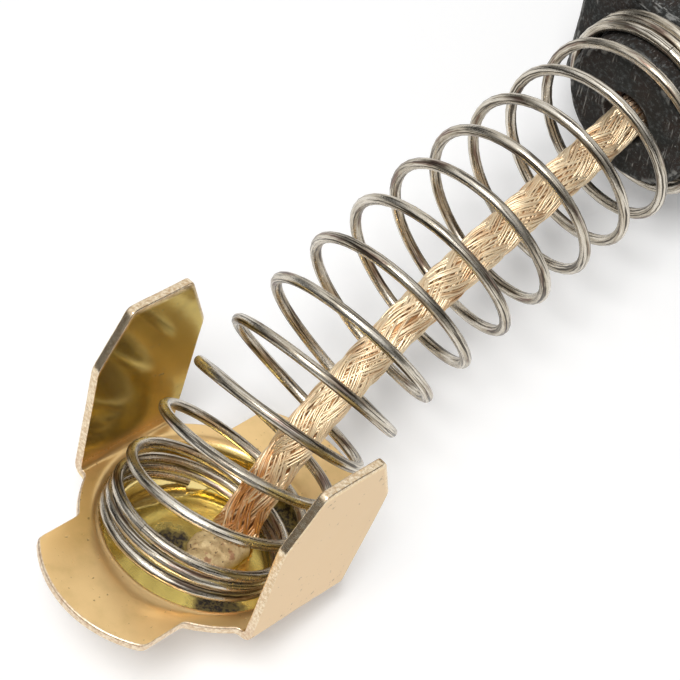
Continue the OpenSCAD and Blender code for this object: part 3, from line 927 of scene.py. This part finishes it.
def carbon_finish(f):
    """Pressed carbon: matt charcoal with a brown tint and a grey grain, bundles of light
    scratches, pale flecks, and pale edges that are partly rubbed and partly a painted highlight."""
    s = Shader("pressed carbon")
    own, edge = s.attribute("own", vector=True), s.attribute("edge")
    fine, broad = s.noise(own, 5.0, 4, 0.7), s.noise(own, 0.45, 3)
    tone = s.mix(broad.smooth(0.35, 0.65), tuple(f.carbon), (0.034, 0.024, 0.019))
    tone = s.mix(fine.smooth(0.48, 0.66) * 0.9, tone, (0.085, 0.090, 0.090))
    tone = s.mix((1 - fine.smooth(0.30, 0.42)) * 0.7, tone, (0.008, 0.008, 0.008))
    scratch = s.noise(s.stretched(own, (3.4, 9.0, 0.8)), 1.0, 3).smooth(0.58, 0.68)
    tone = s.mix(scratch * s.noise(own, 0.9, 2).smooth(0.45, 0.6) * 0.8, tone, (0.34, 0.33, 0.31))
    flecks = s.noise(own, 6.5, 2).smooth(0.72, 0.76)
    tone = s.mix(flecks * 0.7, tone, (0.50, 0.52, 0.50))
    # Pale edges: partly rubbed wear, partly a painted highlight where the edges catch the light.
    scuffs_and_glints = s.noise(s.stretched(own, (5.0, 1.2, 1.2)), 1.2, 3).smooth(0.50, 0.62)
    tone = s.mix(edge.smooth(0.1, 0.5) * scuffs_and_glints * 0.65, tone, (0.38, 0.38, 0.36))
    rough = 0.58 + fine * 0.25
    relief = s.bump(fine + broad * 0.5, 0.045)
    s.set(Base_Color=tone, Roughness=rough, Specular_IOR_Level=0.20, Normal=relief)
    return s.material


def powder_finish(f):
    """Dark reddish powder, rammed hard round the braid."""
    s = Shader("tamping powder")
    grain = s.noise(s.place(), 6.0, 4)
    tone = s.mix(grain.smooth(0.35, 0.7), tuple(f.powder), (0.24, 0.13, 0.09))
    s.set(Base_Color=tone, Roughness=0.8, Normal=s.bump(grain, 0.08))
    return s.material


# ---------------------------------------------------------------- the stage

def make_floor():
    """A wide pale floor: it takes the shadows, and what the camera and mirrors see of it is
    lifted towards white, the more so far away, where the lamp is weak."""
    half = 2.0
    points = np.array([[-half, -half, 0], [half, -half, 0], [half, half, 0], [-half, half, 0]])
    obj = new_mesh("floor", points, np.array([[0, 1, 2, 3]]))
    s = Shader("pale floor")
    path = s.tree.nodes.new("ShaderNodeLightPath")
    seen = Value(s, path.outputs["Is Camera Ray"])
    for ray in ("Is Glossy Ray", "Is Transmission Ray"):
        seen = seen.math("MAXIMUM", Value(s, path.outputs[ray]))
    matt = s.node("ShaderNodeBsdfDiffuse", None, {"Color": (0.82, 0.82, 0.82)})
    away = s.measure("LENGTH", s.place())
    strength = 0.25 + away.smooth(90, 450) * 0.65
    glow = s.node("ShaderNodeEmission", None, {"Color": (1, 1, 1), "Strength": strength})
    both = s.node("ShaderNodeAddShader", None, {0: matt, 1: glow})
    out = s.node("ShaderNodeMixShader", None, {0: seen, 1: matt, 2: both})
    s.tree.nodes.remove(s.surface)
    end = next(n for n in s.tree.nodes if n.type == "OUTPUT_MATERIAL")
    s.put(end.inputs["Surface"], out)
    obj.data.materials.append(s.material)


def make_world():
    """A white room. Mirrors see it bright overhead, dark round the horizon, and bright again
    at one wide window."""
    world = bpy.data.worlds.new("pale room")
    world.use_nodes = True
    bpy.context.scene.world = world
    s = Shader("", world.node_tree)
    path = s.tree.nodes.new("ShaderNodeLightPath")
    camera = Value(s, path.outputs["Is Camera Ray"])
    mirror = Value(s, path.outputs["Is Glossy Ray"])
    way = s.node("ShaderNodeTexCoord", output=0)
    overhead = s.part(way, "Z").smooth(0.38, 0.80)
    window = s.measure("DOT_PRODUCT", way, WINDOW_WAY).smooth(0.62, 0.95)
    room = 0.05 + overhead.math("MAXIMUM", window) * 0.90
    level = 0.28 * (1 - mirror) + room * mirror
    level = level * (1 - camera) + camera
    back = next(n for n in s.tree.nodes if n.type == "BACKGROUND")
    s.put(back.inputs["Strength"], level)
    back.inputs["Color"].default_value = (1, 1, 1, 1)


def make_lamp():
    """A square soft lamp over the object, which it faces."""
    data = bpy.data.lights.new("key", "AREA")
    data.size, data.energy = LAMP_SIZE, LAMP_POWER
    obj = bpy.data.objects.new("key", data)
    obj.location = LAMP_PLACE
    aim = Vector(LAMP_TARGET) - Vector(LAMP_PLACE)
    obj.rotation_euler = aim.to_track_quat("-Z", "Y").to_euler()
    bpy.context.scene.collection.objects.link(obj)


def make_camera():
    """A long lens beyond the cap's end, looking steeply down at the brush."""
    data = bpy.data.cameras.new("camera")
    data.lens, data.sensor_width, data.clip_start = CAMERA_LENS, 36, 0.005
    right = Vector(CAMERA_RIGHT).normalized()
    look = Vector(CAMERA_LOOK).normalized()
    up = right.cross(look)
    turn = Matrix((right, up, -look)).transposed()
    obj = bpy.data.objects.new("camera", data)
    obj.matrix_world = Matrix.Translation(CAMERA_PLACE) @ turn.to_4x4()
    bpy.context.scene.collection.objects.link(obj)
    bpy.context.scene.camera = obj


# ---------------------------------------------------------------- operators

def dress(obj, finish, slot, body, *nodes):
    """Give a piece its finish, its body and the nodes that it stands for. Its slot is not used."""
    obj.data.materials.clear()
    obj.data.materials.append(finish)
    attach(obj, body)
    if nodes:
        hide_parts(*nodes)


def shorten(obj, start, end):
    """Give a piece its own mesh. The share by which it would shorten along X as the carbon slides in is worked out
    and not used.
    """
    joint = FRAME["joints"][0]
    travel = max(joint["range_m"])
    1 - travel / (end - start)
    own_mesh(obj)


class BRUSH_OT_spring(bpy.types.Operator):
    """Wind the compression spring from the cap to the boss"""

    bl_idname = "brush.spring"
    bl_label = "Add spring"

    def execute(self, context):
        steel = steel_finish(context.scene.brush_finish)
        parts, start, end = make_spring(context.scene)
        for part, body in zip(parts, ("cap_body", "cap_body", "carbon_body")):
            dress(part, steel, "spring_steel", body, "spring")
        shorten(parts[1], start, end)
        return {"FINISHED"}


class BRUSH_OT_braid(bpy.types.Operator):
    """Braid the copper lead and weld its foot to the cup"""

    bl_idname = "brush.braid"
    bl_label = "Add braid"

    def execute(self, context):
        scene = context.scene
        finish = scene.brush_finish
        line = braid_line(Layout(scene), scene)
        for piece, look in ((make_braid(scene), copper_finish), (make_braid_core(scene), core_finish)):
            dress(piece, look(finish), "copper_braid", "cap_body", "shunt_braid")
            shorten(piece, line[0][0], line[-1][0])
        dress(make_foot(scene), weld_finish(finish), "copper_braid", "cap_body", "shunt_braid")
        return {"FINISHED"}


class BRUSH_OT_cap(bpy.types.Operator):
    """Press the brass terminal cap with its cup, wings and ears"""

    bl_idname = "brush.cap"
    bl_label = "Add terminal cap"

    def execute(self, context):
        finish = brass_finish(context.scene.brush_finish)
        dress(make_cap(context.scene), finish, "brass_sheet", "cap_body", "terminal_cap")
        return {"FINISHED"}


class BRUSH_OT_carbon(bpy.types.Operator):
    """Press the carbon block with its boss and ram the powder into its hole"""

    bl_idname = "brush.carbon"
    bl_label = "Add carbon"

    def execute(self, context):
        finish = context.scene.brush_finish
        dress(make_carbon(context.scene), carbon_finish(finish), "carbon", "carbon_body", "carbon_block")
        fill = FRAME["nodes"]["tamping_fill"]
        fill.data.materials.clear()
        fill.data.materials.append(powder_finish(finish))
        return {"FINISHED"}


class BRUSH_OT_stage(bpy.types.Operator):
    """Set up the pale floor, the room, the soft lamp and the camera"""

    bl_idname = "brush.stage"
    bl_label = "Set the stage"

    def execute(self, context):
        make_camera()
        make_floor()
        make_world()
        make_lamp()
        context.scene.view_settings.view_transform = "Standard"
        return {"FINISHED"}


class BRUSH_PT_panel(bpy.types.Panel):
    """Sizes, finishes and steps of the carbon brush"""

    bl_idname = "BRUSH_PT_panel"
    bl_label = "Carbon brush"
    bl_space_type = "VIEW_3D"
    bl_region_type = "UI"
    bl_category = "Carbon brush"

    def draw(self, context):
        for operator in OPERATORS:
            self.layout.operator(operator.bl_idname)
        for name, group in GROUPS.items():
            box = self.layout.box()
            for prop in group.__annotations__:
                box.prop(getattr(context.scene, name), prop)


OPERATORS = (BRUSH_OT_stage, BRUSH_OT_cap, BRUSH_OT_spring, BRUSH_OT_braid, BRUSH_OT_carbon)
CLASSES = (*GROUPS.values(), *OPERATORS, BRUSH_PT_panel)


def register():
    for cls in CLASSES:
        bpy.utils.register_class(cls)
    for name, group in GROUPS.items():
        setattr(bpy.types.Scene, name, PointerProperty(type=group))


def unregister():
    for name in GROUPS:
        delattr(bpy.types.Scene, name)
    for cls in reversed(CLASSES):
        bpy.utils.unregister_class(cls)


def main():
    register()
    for operator in OPERATORS:
        family, name = operator.bl_idname.split(".")
        getattr(getattr(bpy.ops, family), name)()


if __name__ == "__main__":
    main()
